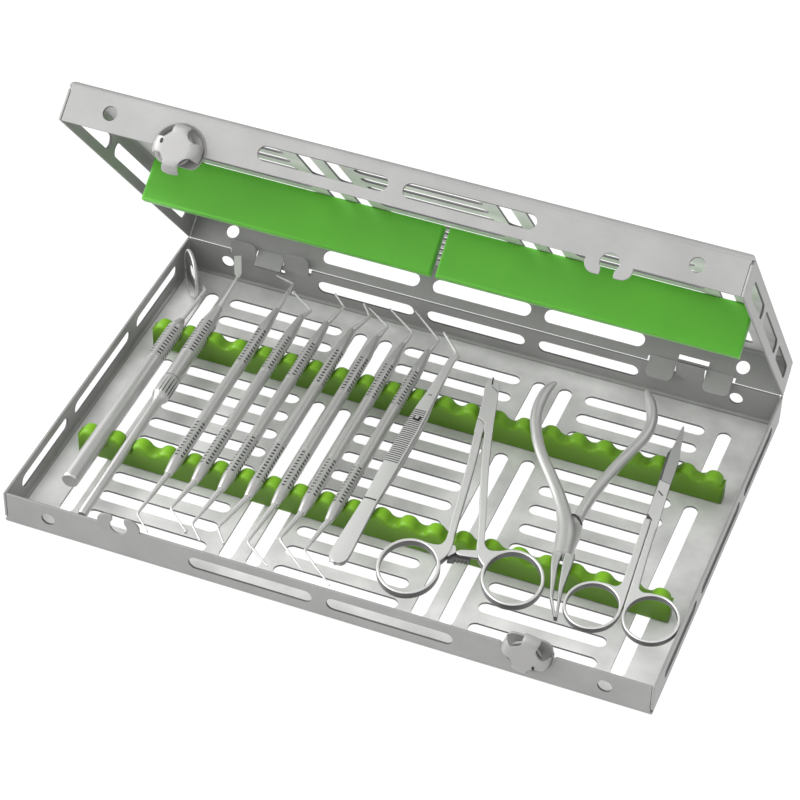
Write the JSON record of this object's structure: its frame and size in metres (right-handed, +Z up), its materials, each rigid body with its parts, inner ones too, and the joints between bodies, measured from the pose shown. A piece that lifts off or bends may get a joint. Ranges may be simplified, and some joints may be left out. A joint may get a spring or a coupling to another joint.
{
  "type": "dental instrument cassette",
  "caption": "Perforated steel instrument cassette with its lid standing open, turning latches, green silicone racks and a set of dental hand instruments",
  "frame": {"origin": "middle of the tray's underside, on the surface it stands on", "axes": "+X runs along the length to the viewer's right when the latches face them, +Y runs from the latches to the hinge, +Z is up"},
  "size_m": [0.28, 0.1985, 0.1691],
  "materials": {
    "shell_steel": "satin electropolished sheet",
    "rack_silicone": "matt green silicone",
    "bar_silicone": "matt green silicone, slightly translucent",
    "knob_steel": "satin pressed steel",
    "handle_steel": "satin, knurled in bands",
    "point_steel": "polished working ends",
    "mirror_glass": "front-silvered mirror",
    "tool_steel": "satin forged steel",
    "pin_steel": "machined flush"
  },
  "bodies": {
    "tray": {"tray_shell": "shell_steel", "tray_rack_front": "rack_silicone", "tray_rack_back": "rack_silicone"},
    "lid": {"lid_shell": "shell_steel", "lid_bar_left": "bar_silicone", "lid_bar_right": "bar_silicone"},
    "tray_knob": {"tray_knob_cap": "knob_steel", "tray_knob_shaft": "knob_steel"},
    "lid_knob": {"lid_knob_cap": "knob_steel", "lid_knob_shaft": "knob_steel"},
    "mirror": {"mirror_handle": "handle_steel", "mirror_head": "point_steel", "mirror_glass": "mirror_glass"},
    "blade": {"blade_handle": "handle_steel", "blade_tip": "point_steel"},
    "explorer": {"explorer_handle": "handle_steel", "explorer_ends": "point_steel"},
    "burnisher": {"burnisher_handle": "handle_steel", "burnisher_ends": "point_steel"},
    "plugger_wide": {"plugger_wide_handle": "handle_steel", "plugger_wide_ends": "point_steel"},
    "plugger_fine": {"plugger_fine_handle": "handle_steel", "plugger_fine_ends": "point_steel"},
    "scaler_left": {"scaler_left_handle": "handle_steel", "scaler_left_ends": "point_steel"},
    "scaler_mid": {"scaler_mid_handle": "handle_steel", "scaler_mid_ends": "point_steel"},
    "scaler_right": {"scaler_right_handle": "handle_steel", "scaler_right_ends": "point_steel"},
    "tweezers": {"tweezers_arm_low": "tool_steel"},
    "tweezers_arm": {"tweezers_arm_high": "tool_steel"},
    "needle_holder": {"holder_right": "tool_steel", "holder_pin": "pin_steel"},
    "needle_holder_half": {"holder_left": "tool_steel"},
    "pliers": {"pliers_left": "tool_steel", "pliers_pin": "pin_steel"},
    "pliers_half": {"pliers_right": "tool_steel"},
    "scissors": {"scissors_right": "tool_steel", "scissors_pin": "pin_steel"},
    "scissors_half": {"scissors_left": "tool_steel"}
  },
  "joints": [
    {"name": "lid_hinge", "type": "hinge", "parent": "tray", "child": "lid", "pos_m": [0, 0.091, 0.017], "axis": [-1, 0, 0], "range_deg": [-51.53, 51]},
    {"name": "tray_knob_turn", "type": "hinge", "parent": "tray", "child": "tray_knob", "pos_m": [0.088, -0.091, 0.017], "axis": [0, -1, 0], "range_deg": [0, 90]},
    {"name": "lid_knob_turn", "type": "hinge", "parent": "lid", "child": "lid_knob", "pos_m": [-0.088, -0.02222, 0.15949], "axis": [0, -0.6221, 0.7829], "range_deg": [0, 90]},
    {"name": "mirror_lift", "type": "slide", "parent": "tray", "child": "mirror", "axis": [0, -0.6018, 0.7986], "range_m": [0, 0.2]},
    {"name": "blade_lift", "type": "slide", "parent": "tray", "child": "blade", "axis": [0, -0.6018, 0.7986], "range_m": [0, 0.2]},
    {"name": "explorer_lift", "type": "slide", "parent": "tray", "child": "explorer", "axis": [0, -0.6018, 0.7986], "range_m": [0, 0.2]},
    {"name": "burnisher_lift", "type": "slide", "parent": "tray", "child": "burnisher", "axis": [0, -0.6018, 0.7986], "range_m": [0, 0.2]},
    {"name": "plugger_wide_lift", "type": "slide", "parent": "tray", "child": "plugger_wide", "axis": [0, -0.6018, 0.7986], "range_m": [0, 0.2]},
    {"name": "plugger_fine_lift", "type": "slide", "parent": "tray", "child": "plugger_fine", "axis": [0, -0.6018, 0.7986], "range_m": [0, 0.2]},
    {"name": "scaler_left_lift", "type": "slide", "parent": "tray", "child": "scaler_left", "axis": [0, -0.6018, 0.7986], "range_m": [0, 0.2]},
    {"name": "scaler_mid_lift", "type": "slide", "parent": "tray", "child": "scaler_mid", "axis": [0, -0.6018, 0.7986], "range_m": [0, 0.2]},
    {"name": "scaler_right_lift", "type": "slide", "parent": "tray", "child": "scaler_right", "axis": [0, -0.6018, 0.7986], "range_m": [0, 0.2]},
    {"name": "tweezers_lift", "type": "slide", "parent": "tray", "child": "tweezers", "axis": [0, -0.6018, 0.7986], "range_m": [0, 0.2]},
    {"name": "needle_holder_lift", "type": "slide", "parent": "tray", "child": "needle_holder", "axis": [0, -0.6018, 0.7986], "range_m": [0, 0.2]},
    {"name": "pliers_lift", "type": "slide", "parent": "tray", "child": "pliers", "axis": [0, -0.6018, 0.7986], "range_m": [0, 0.2]},
    {"name": "scissors_lift", "type": "slide", "parent": "tray", "child": "scissors", "axis": [0, -0.6018, 0.7986], "range_m": [0, 0.2]},
    {"name": "tweezers_squeeze", "type": "hinge", "parent": "tweezers", "child": "tweezers_arm", "pos_m": [0, -0.077, 0.0151], "axis": [-1, 0, 0], "range_deg": [0, 0.35], "stiffness_Nm_per_rad": 10},
    {"name": "needle_holder_pivot", "type": "hinge", "parent": "needle_holder", "child": "needle_holder_half", "pos_m": [0.0266, 0.0304, 0.0162], "axis": [0, 0, -1], "range_deg": [0, 6]},
    {"name": "pliers_pivot", "type": "hinge", "parent": "pliers", "child": "pliers_half", "pos_m": [0.0836, -0.0267, 0.0164], "axis": [0, 0, -1], "range_deg": [0, 7]},
    {"name": "scissors_pivot", "type": "hinge", "parent": "scissors", "child": "scissors_half", "pos_m": [0.1101, 0.0037, 0.0159], "axis": [0, 0, -1], "range_deg": [0, 1]}
  ]
}
